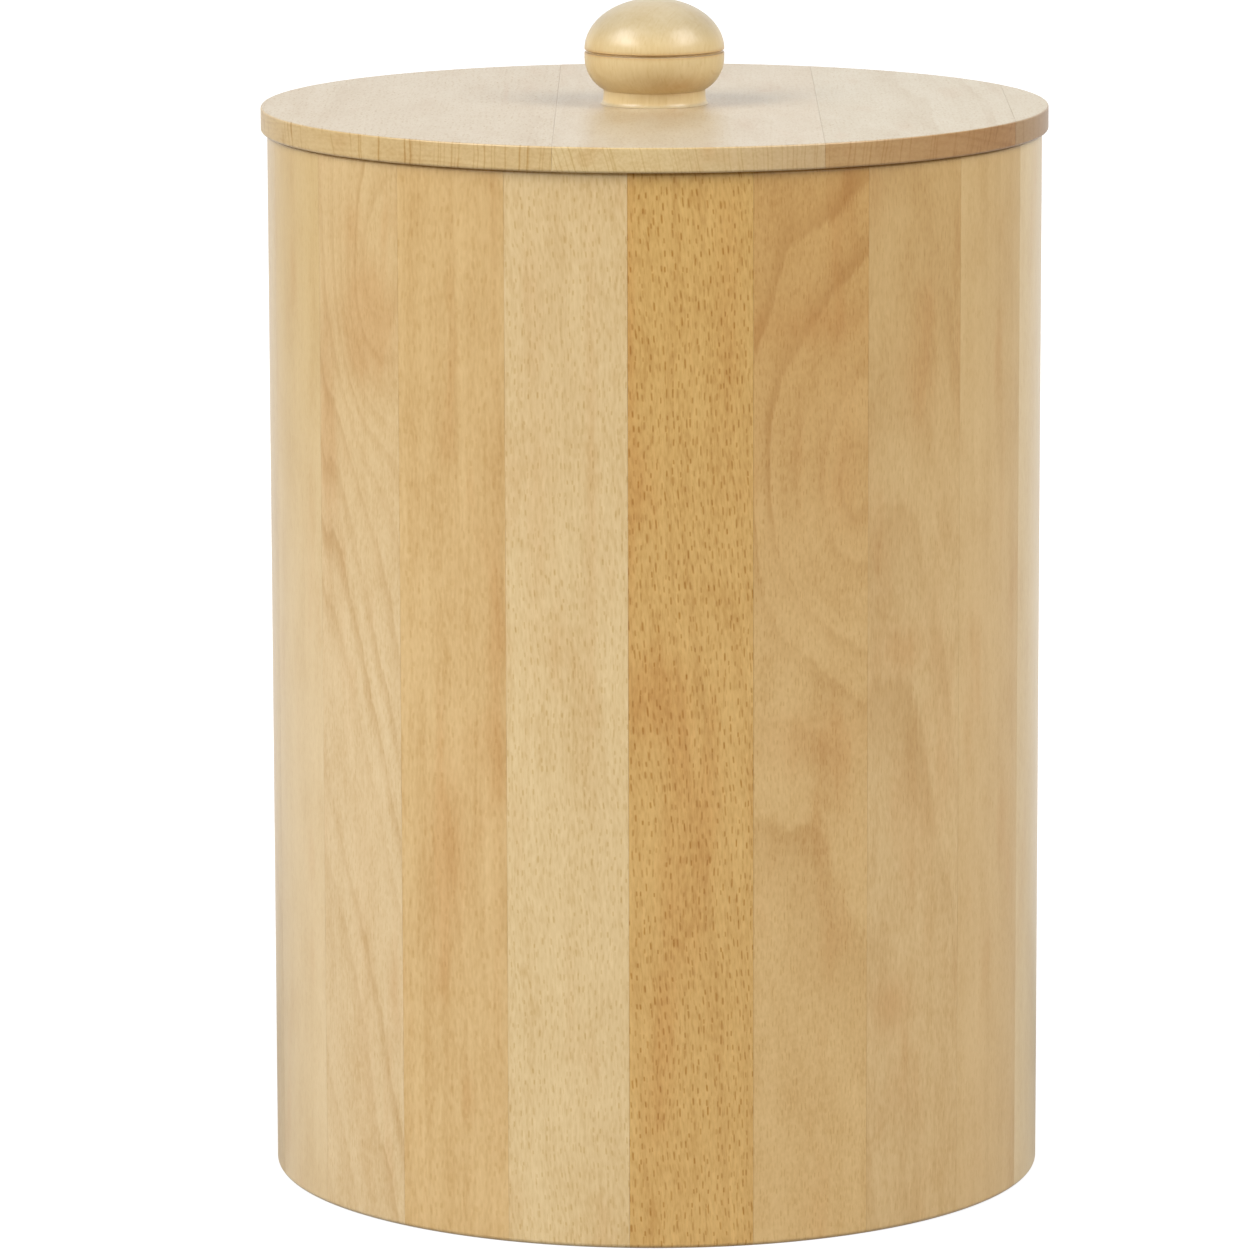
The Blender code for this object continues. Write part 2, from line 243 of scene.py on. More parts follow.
def knob_mesh(name):
    """The knob's profile, from the top of the dome down the outside, and up the pilot hole."""
    reach = KNOB_BOWL_CURVE - KNOB_UNDERCUT
    rise = sqrt(KNOB_BOWL_CURVE**2 - reach**2)
    bowl_top = KNOB_FOOT_HEIGHT + rise
    groove_z = bowl_top + KNOB_BAND_HEIGHT
    dome_z = groove_z + KNOB_GROOVE_WIDTH
    profile = [(0, dome_z + KNOB_DOME_HEIGHT)]
    for step in range(1, DOME_STEPS):
        angle = pi / 2 * (1 - step / DOME_STEPS)
        profile.append((KNOB_RADIUS * cos(angle), dome_z + KNOB_DOME_HEIGHT * sin(angle)))
    lip = KNOB_GROOVE_LIP
    lip_r = KNOB_RADIUS - lip
    root_r = KNOB_RADIUS - KNOB_GROOVE_DEPTH
    root = KNOB_GROOVE_WIDTH / 2 - lip
    profile += arc((lip_r, dome_z + lip), lip, 0, -pi / 2, ARRIS_STEPS)
    profile += arc((root_r, groove_z + KNOB_GROOVE_WIDTH / 2), root, pi / 2, 3 * pi / 2, FOOT_STEPS)
    profile += arc((lip_r, groove_z - lip), lip, pi / 2, 0, ARRIS_STEPS)
    bowl_centre = (KNOB_RADIUS - KNOB_BOWL_CURVE, bowl_top)
    profile += arc(bowl_centre, KNOB_BOWL_CURVE, 0, -atan2(rise, reach), BOWL_STEPS)
    foot_radius = KNOB_RADIUS - KNOB_UNDERCUT
    for step in range(1, FOOT_STEPS + 1):
        share = step / FOOT_STEPS
        bead = max(0, share - BEAD_START) / (1 - BEAD_START)
        height = KNOB_FOOT_HEIGHT * (1 - share) - KNOB_SEAT * share
        profile.append((foot_radius + KNOB_FOOT_FLARE * share**3 + LACQUER_BEAD * bead**2, height))
    profile += [(SCREW_HOLE_RADIUS, -KNOB_SEAT), (SCREW_HOLE_RADIUS, PILOT_DEPTH)]
    profile.append((0, PILOT_DEPTH + SCREW_HOLE_RADIUS))
    return mesh_of(name, turned(profile, KNOB_FACETS))


class Graph:
    """A node tree, with short calls for the nodes that the materials are built from."""

    def __init__(self, tree):
        self.tree = tree

    def node(self, kind, **settings):
        made = self.tree.nodes.new("ShaderNode" + kind)
        for name, value in settings.items():
            setattr(made, name, value)
        return made

    def feed(self, socket, value):
        """A link where the value is another node's output, else a plain number, vector or colour."""
        if isinstance(value, bpy.types.NodeSocket):
            self.tree.links.new(value, socket)
        else:
            socket.default_value = value

    def math(self, operation, *values, clamp=False):
        made = self.node("Math", operation=operation, use_clamp=clamp)
        for socket, value in zip(made.inputs, values):
            self.feed(socket, value)
        return made.outputs[0]

    def math_chain(self, operation, first, *others):
        """The same operation over several values in turn."""
        for other in others:
            first = self.math(operation, first, other)
        return first

    def length(self, x, y):
        return self.math("SQRT", self.math("MULTIPLY_ADD", x, x, self.math("MULTIPLY", y, y)))

    def vector(self, operation, *values):
        made = self.node("VectorMath", operation=operation)
        for socket, value in zip(made.inputs, values):
            self.feed(socket, value)
        return made.outputs["Value" if operation == "DOT_PRODUCT" else "Vector"]

    def join(self, x, y, z):
        made = self.node("CombineXYZ")
        for socket, value in zip(made.inputs, (x, y, z)):
            self.feed(socket, value)
        return made.outputs[0]

    def split(self, vector):
        made = self.node("SeparateXYZ")
        self.feed(made.inputs[0], vector)
        return made.outputs[0], made.outputs[1], made.outputs[2]

    def noise(self, place, detail=2.0, roughness=0.5):
        """Noise about zero, from -1 to 1, with cells a unit across."""
        made = self.node("TexNoise", noise_dimensions="3D")
        self.feed(made.inputs["Vector"], place)
        self.feed(made.inputs["Scale"], 1.0)
        self.feed(made.inputs["Detail"], detail)
        self.feed(made.inputs["Roughness"], roughness)
        return self.math("MULTIPLY_ADD", made.outputs[0], 2.0, -1.0)

    def smooth(self, value, start, end):
        """0 before start and 1 after end, with a soft step between. Start may lie above end."""
        made = self.node("MapRange", interpolation_type="SMOOTHSTEP")
        self.feed(made.inputs["Value"], value)
        self.feed(made.inputs["From Min"], start)
        self.feed(made.inputs["From Max"], end)
        return made.outputs[0]

    def mix(self, factor, first, second, blend="MIX"):
        made = self.node("Mix", data_type="RGBA", blend_type=blend)
        self.feed(made.inputs["Factor"], factor)
        self.feed(made.inputs[6], first)
        self.feed(made.inputs[7], second)
        return made.outputs[2]


# Tints that the growth of the wood lays over its base colour, linear RGB; the red one also paints shade into
# the knob's groove
PALE_TINT = (1.10, 1.14, 1.23, 1.0)
WARM_TINT = (0.87, 0.80, 0.68, 1.0)
RED_TINT = (0.93, 0.84, 0.75, 1.0)
LATEWOOD_TINT = (0.84, 0.76, 0.64, 1.0)
RAY_TINT = (0.67, 0.49, 0.15, 1.0)

# Noises over a board: cells per mm across and along the grain, then detail and roughness
WANDER_NOISE = (0.06, 0.030)
SWIRL_NOISE = (0.035, 0.012)
FEATHER_NOISE = (0.9, 0.10, 3.0, 0.6)
CLEARNESS_NOISE = (0.045, 0.022)
PORE_NOISE = (7.0, 0.8, 1.0)
STREAK_NOISE = (0.32, 0.014, 4.0, 0.65)
BLOTCH_NOISE = (0.10, 0.045, 4.0, 0.65)
WARMTH_NOISE = (0.11, 0.022, 2.0)
FIBRE_DETAIL = (1.5, 0.55)

# How far the grain wanders sideways and the rings' edges feather, in mm
WANDER = 1.6
FEATHER = 0.42

# A year's latewood, as shares of the year: where it darkens and where it ends
LATEWOOD_DARKENS = (0.35, 0.90)
LATEWOOD_ENDS = (1.0, 0.88)
PALEST_YEAR = 0.2
FAINTEST_RINGS = 0.3
CLEAR_RINGS = (-0.35, 0.45)
WAVES_PER_RING = 2.3
WAVE_SHARE = 0.5

# Where warm wood turns red, and how ragged the reddish patches are
RED_WARMTH = (0.05, 0.7)
FRAYING = 0.9

# Rays: pitch and half width in mm of the dashes and of the fine ones, and the fine ones' length
DASH_PITCH = 1.7
DASH_HALF_WIDTH = 0.32
FINE_PITCH = 0.9
FINE_LENGTH = 1.9
FINE_HALF_WIDTH = 0.24
RAY_CELL_LENGTHS = 1.7
RAY_DISORDER = 0.8
RAY_SIDE_FADE = (1.0, 0.2)
RAY_END_FADE = (1.1, 0.5)
SHORTEST_RAY = 0.6
RAY_SIZE_SPREAD = 0.8
FAINTEST_RAY = 0.5
FIBRES_PER_MM = 1.35

# Relief of the grain and unevenness of its gloss
RELIEF_OF_FIBRES = 0.30
RELIEF_OF_PORES = 0.22
RELIEF_OF_LATEWOOD = 0.25
GLOSS_OF_PORES = 0.4


def wood_group():
    """Solid beech, in millimetres: u across the board, v out of its face and w along the grain."""
    tree = bpy.data.node_groups.new("solid_beech", "ShaderNodeTree")
    floats = (
        ("Pith side", 0.0),
        ("Pith depth", 80.0),
        ("Rise", 0.05),
        ("Ring width", 4.0),
        ("Swirl", 1.5),
        ("Figure", 0.0),
        ("Patch", 0.0),
        ("Rings", 0.4),
        ("Streaks", 0.5),
        ("Blotches", 0.5),
        ("Fibres", 1.0),
        ("Fibre length", 3.3),
        ("Rays", 0.6),
        ("Fine rays", 0.4),
        ("Ray share", 0.7),
        ("Ray length", 2.0),
        ("Lean", 0.0),
    )
    tree.interface.new_socket(name="Place", in_out="INPUT", socket_type="NodeSocketVector")
    tree.interface.new_socket(name="Seed", in_out="INPUT", socket_type="NodeSocketVector")
    tree.interface.new_socket(name="Base", in_out="INPUT", socket_type="NodeSocketColor")
    for name, value in floats:
        made = tree.interface.new_socket(name=name, in_out="INPUT", socket_type="NodeSocketFloat")
        made.default_value = value
    tree.interface.new_socket(name="Colour", in_out="OUTPUT", socket_type="NodeSocketColor")
    tree.interface.new_socket(name="Height", in_out="OUTPUT", socket_type="NodeSocketFloat")
    tree.interface.new_socket(name="Gloss noise", in_out="OUTPUT", socket_type="NodeSocketFloat")
    g = Graph(tree)
    given = tree.nodes.new("NodeGroupInput").outputs
    place = given["Place"]
    u, v, w = g.split(place)
    seeded = g.vector("ADD", place, given["Seed"])

    def noise(across, along, detail=2.0, roughness=0.5, over=seeded):
        return g.noise(g.vector("MULTIPLY", over, (across, across, along)), detail, roughness)

    # The grain leans and wanders a little along a board, and fibres and rays follow it
    wander = g.math("MULTIPLY", noise(*WANDER_NOISE), WANDER)
    wander = g.math("MULTIPLY_ADD", w, given["Lean"], wander)
    grain_place = g.vector("ADD", seeded, g.join(wander, 0.0, 0.0))

    # Growth rings: distance from the pith, bent by the tree's own irregular growth
    aside = g.math("SUBTRACT", u, given["Pith side"])
    bow = g.math("DIVIDE", g.math("MULTIPLY", aside, aside), g.math("MULTIPLY", given["Pith depth"], 2.0))
    ring_place = g.math("ADD", v, bow)
    ring_place = g.math("MULTIPLY_ADD", w, given["Rise"], ring_place)
    ring_place = g.math("MULTIPLY_ADD", noise(*SWIRL_NOISE), given["Swirl"], ring_place)
    feather = noise(*FEATHER_NOISE)
    ring_place = g.math("MULTIPLY_ADD", feather, FEATHER, ring_place)
    ring_place = g.math("ADD", ring_place, given["Figure"])
    phase = g.math("DIVIDE", ring_place, given["Ring width"])
    year = g.math("FLOOR", phase)
    season = g.math("FRACT", phase)
    random_year = g.node("TexWhiteNoise", noise_dimensions="1D")
    g.feed(random_year.inputs["W"], year)
    clearness = g.smooth(noise(*CLEARNESS_NOISE), *CLEAR_RINGS)
    latewood = g.math_chain(
        "MULTIPLY",
        g.smooth(season, *LATEWOOD_DARKENS),
        g.smooth(season, *LATEWOOD_ENDS),
        g.math("MULTIPLY_ADD", random_year.outputs["Value"], 1 - PALEST_YEAR, PALEST_YEAR),
        g.math("MULTIPLY_ADD", clearness, 1 - FAINTEST_RINGS, FAINTEST_RINGS),
    )
    wave = g.noise(g.join(g.math("MULTIPLY", phase, WAVES_PER_RING), g.split(given["Seed"])[1], 0.0), 2.0)

    # Rays: thin sheets from the pith outwards, which a face cuts across as short dark dashes
    fan = g.math("ADD", g.math("DIVIDE", v, given["Pith depth"]), 1.0)
    ray_place = g.math("DIVIDE", aside, fan)
    ray_place = g.math("ADD", wander, ray_place)
    ray_seed = g.split(given["Seed"])[0]

    def rays(pitch, length, half_width):
        """Dashes about a length long, one to each cell of the pitch across and of a few lengths along."""
        along = g.math("DIVIDE", g.math("DIVIDE", w, length), RAY_CELL_LENGTHS)
        across = g.math("MULTIPLY_ADD", ray_place, 1 / pitch, ray_seed)
        here = g.join(across, along, 0.0)
        cells = g.node("TexVoronoi", voronoi_dimensions="2D", feature="F1")
        g.feed(cells.inputs["Vector"], here)
        g.feed(cells.inputs["Scale"], 1.0)
        g.feed(cells.inputs["Randomness"], RAY_DISORDER)
        chance, size, depth = g.split(cells.outputs["Color"])
        away = g.vector("SUBTRACT", here, cells.outputs["Position"])
        away = g.vector("MULTIPLY", away, (pitch / half_width, 2 * RAY_CELL_LENGTHS, 0.0))
        x, y = g.split(g.vector("ABSOLUTE", away))[:2]
        size = g.math("MULTIPLY_ADD", size, RAY_SIZE_SPREAD, SHORTEST_RAY)
        return g.math_chain(
            "MULTIPLY",
            g.smooth(x, *RAY_SIDE_FADE),
            g.smooth(g.math("DIVIDE", y, size), *RAY_END_FADE),
            g.math("LESS_THAN", chance, given["Ray share"]),
            g.math("MULTIPLY_ADD", depth, 1 - FAINTEST_RAY, FAINTEST_RAY),
        )

    dashes = rays(DASH_PITCH, given["Ray length"], DASH_HALF_WIDTH)
    fine = rays(FINE_PITCH, FINE_LENGTH, FINE_HALF_WIDTH)

    # Fibres, streaks and the slow drift of colour along a board
    across, outwards, along = g.split(grain_place)
    fibre_place = g.join(
        g.math("MULTIPLY", across, FIBRES_PER_MM),
        g.math("MULTIPLY", outwards, FIBRES_PER_MM),
        g.math("DIVIDE", along, given["Fibre length"]),
    )
    fibres = g.noise(fibre_place, *FIBRE_DETAIL)
    pores = noise(*PORE_NOISE)
    streaks = noise(*STREAK_NOISE, over=grain_place)
    blotches = noise(*BLOTCH_NOISE)
    warmth = noise(*WARMTH_NOISE)
    drift = g.math("MULTIPLY", streaks, given["Streaks"])
    drift = g.math("MULTIPLY_ADD", blotches, given["Blotches"], drift)
    drift = g.math("MULTIPLY_ADD", fibres, given["Fibres"], drift)
    drift = g.math("MULTIPLY_ADD", wave, g.math("MULTIPLY", given["Rings"], WAVE_SHARE), drift)
    pale = g.math("MULTIPLY", drift, 1.0, clamp=True)
    warm = g.math("MULTIPLY", drift, -1.0, clamp=True)
    colour = g.mix(pale, given["Base"], PALE_TINT, "MULTIPLY")
    colour = g.mix(warm, colour, WARM_TINT, "MULTIPLY")
    redness = g.math("MULTIPLY", g.smooth(warmth, *RED_WARMTH), given["Blotches"])
    frayed = g.math("MULTIPLY", given["Patch"], g.math("MULTIPLY_ADD", feather, FRAYING, 1.0))
    redness = g.math("ADD", redness, frayed, clamp=True)
    colour = g.mix(redness, colour, RED_TINT, "MULTIPLY")
    ring_lines = g.math("MULTIPLY", latewood, given["Rings"], clamp=True)
    colour = g.mix(ring_lines, colour, LATEWOOD_TINT, "MULTIPLY")
    dark = g.math("MULTIPLY", dashes, given["Rays"])
    dark = g.math("MULTIPLY_ADD", fine, given["Fine rays"], dark)
    colour = g.mix(g.math("MINIMUM", dark, 1.0), colour, RAY_TINT, "MULTIPLY")

    height = g.math("MULTIPLY", dark, -1.0)
    height = g.math("MULTIPLY_ADD", fibres, RELIEF_OF_FIBRES, height)
    height = g.math("MULTIPLY_ADD", pores, RELIEF_OF_PORES, height)
    height = g.math("MULTIPLY_ADD", latewood, RELIEF_OF_LATEWOOD, height)
    out = tree.nodes.new("NodeGroupOutput")
    g.feed(out.inputs["Colour"], colour)
    g.feed(out.inputs["Height"], height)
    gloss_noise = g.math("MULTIPLY", blotches, 1 - GLOSS_OF_PORES)
    gloss_noise = g.math("MULTIPLY_ADD", pores, GLOSS_OF_PORES, gloss_noise)
    g.feed(out.inputs["Gloss noise"], gloss_noise)
    return tree


SOLID_BEECH = wood_group()

# Where a board lies in its tree: which way each of u, v and w runs in the object, and its offset in mm
STAVE_AXES = (("X", 1, 0.0), ("Y", -1, -MM_PER_METRE * BODY_RADIUS), ("Z", 1, 0.0))
PANEL_AXES = (("X", 1, 0.0), ("Z", 1, -MM_PER_METRE * PANEL_THICKNESS), ("Y", 1, 0.0))
DISC_AXES = (("X", 1, 0.0), ("Z", -1, 0.0), ("Y", 1, 0.0))
KNOB_AXES = (("X", 1, 0.0), ("Y", -1, -MM_PER_METRE * KNOB_RADIUS), ("Z", 1, 0.0))


def board_axes(centre):
    """A lid board lies flat, front to back, with its u counted from its own middle."""
    return (("X", 1, -MM_PER_METRE * centre), ("Z", 1, -MM_PER_METRE * LID_THICKNESS), ("Y", 1, 0.0))


# Each board's own place in the noise, per step of its seed
SEED_STEPS = (37.1, 11.3, 91.7)

# Roughness of the wood under the lacquer, how much lacquer lies on it, and the lacquer's own roughness
SATIN = (0.50, 1.0, 0.30)
LID_SATIN = (0.50, 1.0, 0.36)
KNOB_SATIN = (0.50, 0.75, 0.28)
MATT = (0.60, 0.2, 0.45)
WOOD_SPECULAR = 0.1
GLOSS_SPREAD = 0.05
WOOD_BUMP = 0.5
LACQUER_BUMP = 0.25

# Heights between which a stave's colour drifts to that of its upper end, darker and more saturated: partly
# the wood's own tone, partly painted shade towards the lid
UPPER_TONE_AND_SHADE_START = 0.12
UPPER_TONE_AND_SHADE_END = 0.25

# The upward shares of a face's normal between which the end-grain colour shows, on rim, lid edge and knob:
# real end grain, and on the lid and the knob's crown partly painted shade, with the faces that look up
# darker against the strong light from above
RIM_FACING = (0.75, 0.95)
EDGE_FACING = (0.95, 0.5)
CROWN_FACING = (0.1, 0.85)

# End grain on the rim, as shares of the stave's own base colour
RIM_SHARES = (0.80, 0.72, 0.62)


def spots(g, place, places):
    """Soft round or long spots, each given by its u, w, half width, half length and strength."""
    total = 0.0
    for u, w, half_width, half_length, strength in places:
        away = g.vector("SUBTRACT", place, (u, 0, w))
        away = g.vector("MULTIPLY", away, (1 / half_width, 0, 1 / half_length))
        fall = g.math("MULTIPLY", g.vector("DOT_PRODUCT", away, away), -1.0)
        total = g.math("MULTIPLY_ADD", g.math("EXPONENT", fall), strength, total)
    return total


def beech(
    name,
    base,
    axes,
    seed,
    turn=0.0,
    upper=None,
    end_grain=None,
    end_grain_fade=None,
    islands=(),
    patches=(),
    gloss=SATIN,
    relief=0.05,
    **grain,
):
    """A board of solid beech. Grain is what the group's inputs say, and rings bulge at the islands.

    Patches are reddish: the wood's own tone, and on the knob also painted shade in its groove. Upper is the
    colour of a stave near its upper end, partly its own tone and partly painted shade towards the lid. The
    end grain and shade argument is a colour, and the upward share of a face's normal where that colour
    starts and
    where it is full: real end grain, and on the lid and the knob's crown partly painted shade, with the
    faces that look up darker against the strong light from above. It may fade to another colour across the
    board, given with the u where the fade starts and where it is full.
    """
    material = bpy.data.materials.new(name)
    material.use_nodes = True
    g = Graph(material.node_tree)
    shader = material.node_tree.nodes["Principled BSDF"]
    coordinates = g.node("TexCoord")
    parts = dict(zip("XYZ", g.split(coordinates.outputs["Object"])))
    along_board = []
    for axis, sign, offset in axes:
        along_board.append(g.math("MULTIPLY_ADD", parts[axis], MM_PER_METRE * sign, offset))
    place = g.join(*along_board)
    board_place = place
    if turn:
        rotate = g.node("VectorRotate", rotation_type="Z_AXIS")
        g.feed(rotate.inputs["Vector"], place)
        g.feed(rotate.inputs["Angle"], radians(turn))
        place = rotate.outputs[0]
    wood = g.node("Group", node_tree=SOLID_BEECH)
    g.feed(wood.inputs["Place"], place)
    g.feed(wood.inputs["Seed"], tuple(seed * step for step in SEED_STEPS))
    tone = (*base, 1.0)
    # The upper colour is partly the stave's own tone and partly painted shade towards the lid
    if upper:
        tone = g.mix(g.smooth(parts["Z"], UPPER_TONE_AND_SHADE_START, UPPER_TONE_AND_SHADE_END), tone, (*upper, 1.0))
    if end_grain:
        colour, start, end = end_grain
        colour = (*colour, 1.0)
        if end_grain_fade:
            far_colour, fade_start, fade_end = end_grain_fade
            across_board = g.split(board_place)[0]
            colour = g.mix(g.smooth(across_board, fade_start, fade_end), colour, (*far_colour, 1.0))
        facing = g.split(coordinates.outputs["Normal"])[2]
        tone = g.mix(g.smooth(facing, start, end), tone, colour)
    g.feed(wood.inputs["Base"], tone)
    for key, value in grain.items():
        g.feed(wood.inputs[key.replace("_", " ").capitalize()], value)
    g.feed(wood.inputs["Figure"], spots(g, board_place, islands))
    g.feed(wood.inputs["Patch"], spots(g, board_place, patches))
    roughness, coat, coat_roughness = gloss
    g.feed(shader.inputs["Base Color"], wood.outputs["Colour"])
    g.feed(shader.inputs["Specular IOR Level"], WOOD_SPECULAR)
    uneven = g.math("MULTIPLY_ADD", wood.outputs["Gloss noise"], GLOSS_SPREAD, roughness)
    g.feed(shader.inputs["Roughness"], uneven)
    g.feed(shader.inputs["Coat Weight"], coat)
    g.feed(shader.inputs["Coat Roughness"], coat_roughness)
    for socket, strength in (("Normal", WOOD_BUMP), ("Coat Normal", LACQUER_BUMP)):
        bump = g.node("Bump")
        g.feed(bump.inputs["Strength"], strength)
        g.feed(bump.inputs["Distance"], relief / MM_PER_METRE)
        g.feed(bump.inputs["Height"], wood.outputs["Height"])
        g.feed(shader.inputs[socket], bump.outputs[0])
    return material


# Base colours of the boards, linear RGB
PALE = (0.69, 0.50, 0.25)
TAN = (0.66, 0.43, 0.19)
HONEY = (0.58, 0.34, 0.115)
BROWN = (0.58, 0.365, 0.15)
PANEL_BEECH = (0.62, 0.44, 0.24)
SLOT_OF_TONE = {PALE: "beech_pale", TAN: "beech_tan", HONEY: "beech_honey", BROWN: "beech_brown"}

# The staves that the photograph shows, from the left rim round the front to the right rim
SEEN_STAVES = {
    17: dict(
        slot="beech_pale",
        base=(0.755, 0.565, 0.312),
        upper=(0.675, 0.475, 0.21),
        pith_side=30.0,
        pith_depth=120.0,
        rise=0.01,
        swirl=2.0,
        rings=0.35,
        rays=0.1,
        fine_rays=0.15,
        ray_share=0.5,
        blotches=0.9,
        fibres=0.5,
        fibre_length=1.6,
    ),
    18: dict(
        slot="beech_tan",
        base=(0.735, 0.54, 0.29),
        upper=(0.67, 0.465, 0.215),
        pith_side=-16.0,
        pith_depth=60.0,
        rise=0.085,
        ring_width=2.2,
        swirl=2.0,
        rings=1.0,
        rays=0.15,
        fine_rays=0.25,
        ray_share=0.5,
        blotches=1.0,
        streaks=0.7,
        fibre_length=1.6,
        fibres=0.85,
        islands=((6.0, 235.0, 14.0, 35.0, 9.0), (-14.0, 195.0, 5.0, 45.0, 2.0)),
        patches=(
            (5.0, 227.0, 9.0, 13.0, 1.8),
            (2.0, 219.0, 2.5, 5.0, 1.0),
            (-12.0, 196.0, 3.5, 34.0, 1.0),
            (-1.0, 250.0, 4.0, 7.0, 0.7),
            (2.0, 55.0, 4.0, 45.0, 0.3),
        ),
    ),
    19: dict(
        slot="beech_tan",
        base=(0.705, 0.475, 0.208),
        upper=(0.65, 0.427, 0.176),
        turn=62.0,
        pith_side=10.0,
        pith_depth=140.0,
        rise=0.012,
        ring_width=5.0,
        rings=0.45,
        rays=0.2,
        fine_rays=0.25,
        ray_share=0.5,
        blotches=1.1,
        streaks=1.3,
        fibres=1.15,
        fibre_length=2.6,
        islands=((-3.0, 95.0, 9.0, 22.0, 3.0),),
        patches=((-1.0, 96.0, 6.0, 22.0, 0.9), (12.5, 120.0, 1.6, 120.0, 0.3)),
    ),
    20: dict(
        slot="beech_pale",
        base=(0.75, 0.553, 0.281),
        upper=(0.705, 0.51, 0.253),
        pith_side=-20.0,
        pith_depth=110.0,
        rise=0.015,
        ring_width=6.0,
        rings=0.45,
        rays=0.42,
        fine_rays=0.2,
        ray_share=0.7,
        ray_length=1.7,
        lean=0.03,
        streaks=0.7,
        blotches=0.8,
        fibres=1.25,
        fibre_length=3.3,
        patches=((-7.0, 185.0, 4.0, 25.0, 0.5), (6.5, 190.0, 1.5, 55.0, 0.5)),
    ),
    1: dict(
        slot="beech_honey",
        base=(0.66, 0.408, 0.136),
        upper=(0.63, 0.386, 0.121),
        pith_side=-24.0,
        pith_depth=70.0,
        rise=0.015,
        ring_width=2.6,
        swirl=1.0,
        rings=0.7,
        rays=0.85,
        fine_rays=0.25,
        ray_share=0.92,
        ray_length=2.1,
        lean=0.04,
        streaks=1.0,
        blotches=1.1,
        fibres=1.75,
        fibre_length=3.0,
        islands=((18.0, 180.0, 22.0, 60.0, 7.0), (-6.0, 40.0, 8.0, 50.0, 3.0)),
        patches=(
            (-15.0, 215.0, 1.5, 60.0, 1.2),
            (-13.0, 192.0, 2.5, 10.0, 1.1),
            (-9.0, 138.0, 7.0, 11.0, 1.2),
            (-2.5, 125.0, 3.0, 14.0, 1.0),
            (2.5, 102.0, 3.0, 16.0, 0.8),
            (0.0, 80.0, 3.0, 12.0, 0.6),
            (-6.5, 56.0, 3.0, 15.0, 1.0),
            (-9.0, 37.0, 3.0, 12.0, 0.7),
            (9.0, 235.0, 3.0, 32.0, 0.6),
        ),
    ),
    2: dict(
        slot="beech_brown",
        base=(0.668, 0.442, 0.184),
        upper=(0.58, 0.34, 0.112),
        pith_side=-3.0,
        pith_depth=98.0,
        rise=0.015,
        ring_width=2.6,
        swirl=3.0,
        rings=1.2,
        rays=0.15,
        fine_rays=0.35,
        ray_share=0.6,
        ray_length=1.7,
        fibre_length=1.6,
        fibres=1.0,
        blotches=1.0,
        islands=((13.0, 190.0, 32.0, 55.0, 14.0), (9.0, 188.0, 6.0, 18.0, 2.0)),
        patches=((0.0, 229.0, 16.0, 5.0, 0.7), (9.0, 189.0, 4.5, 12.0, 0.6), (2.0, 126.0, 14.0, 8.0, 0.7)),
    ),
    3: dict(
        slot="beech_brown",
        base=(0.665, 0.455, 0.208),
        upper=(0.59, 0.38, 0.15),
        pith_side=-6.0,
        pith_depth=47.0,
        rise=0.067,
        ring_width=3.0,
        swirl=2.2,
        rings=0.95,
        rays=0.15,
        fine_rays=0.25,
        ray_share=0.6,
        ray_length=2.0,
        fibre_length=2.4,
        islands=((-2.0, 5.0, 9.0, 42.0, 8.0),),
        blotches=1.1,
        patches=(
            (1.0, 213.0, 5.0, 12.0, 0.9),
            (-5.0, 146.0, 7.0, 6.0, 1.0),
            (3.0, 230.0, 4.0, 8.0, 0.6),
            (-8.0, 57.0, 7.0, 7.0, 1.0),
        ),
    ),
    4: dict(
        slot="beech_tan",
        base=(0.67, 0.457, 0.208),
        upper=(0.63, 0.425, 0.183),
        turn=20.0,
        pith_side=-30.0,
        pith_depth=130.0,
        rise=0.01,
        rings=0.4,
        rays=0.1,
        fine_rays=0.2,
        ray_share=0.4,
        blotches=1.1,
        fibres=0.6,
        fibre_length=1.6,
    ),
    5: dict(
        slot="beech_pale",
        base=(0.75, 0.56, 0.30),
        turn=14.0,
        pith_side=20.0,
        pith_depth=120.0,
        rise=0.02,
        rings=0.4,
        rays=0.1,
        fine_rays=0.2,
        ray_share=0.5,
        blotches=0.9,
        fibres=0.6,
        fibre_length=2.0,
    ),
}

# The base colours of the staves that it doesn't show
BACK_STAVES = {
    6: TAN,
    7: PALE,
    8: HONEY,
    9: TAN,
    10: PALE,
    11: BROWN,
    12: TAN,
    13: PALE,
    14: TAN,
    15: BROWN,
    16: PALE,
}


def back_stave(number):
    """Grain for a stave that the photograph doesn't show, varied by its number."""
    wave = sin(number * 2.4)
    other = cos(number * 1.7)
    return dict(
        slot=SLOT_OF_TONE[BACK_STAVES[number]],
        base=BACK_STAVES[number],
        turn=34.0 * wave,
        pith_side=16.0 * other,
        pith_depth=70.0 + 40.0 * abs(wave),
        rise=0.03 + 0.05 * abs(other),
        ring_width=3.4 + 1.2 * abs(other),
        rings=0.42 + 0.12 * wave,
        rays=0.35 + 0.15 * other,
        fine_rays=0.3,
        ray_share=0.7,
        ray_length=2.2,
        lean=0.03 * wave,
        blotches=0.7,
        islands=((8.0 * wave, 130.0 + 90.0 * other, 9.0, 26.0, 6.0 * wave),),
    )


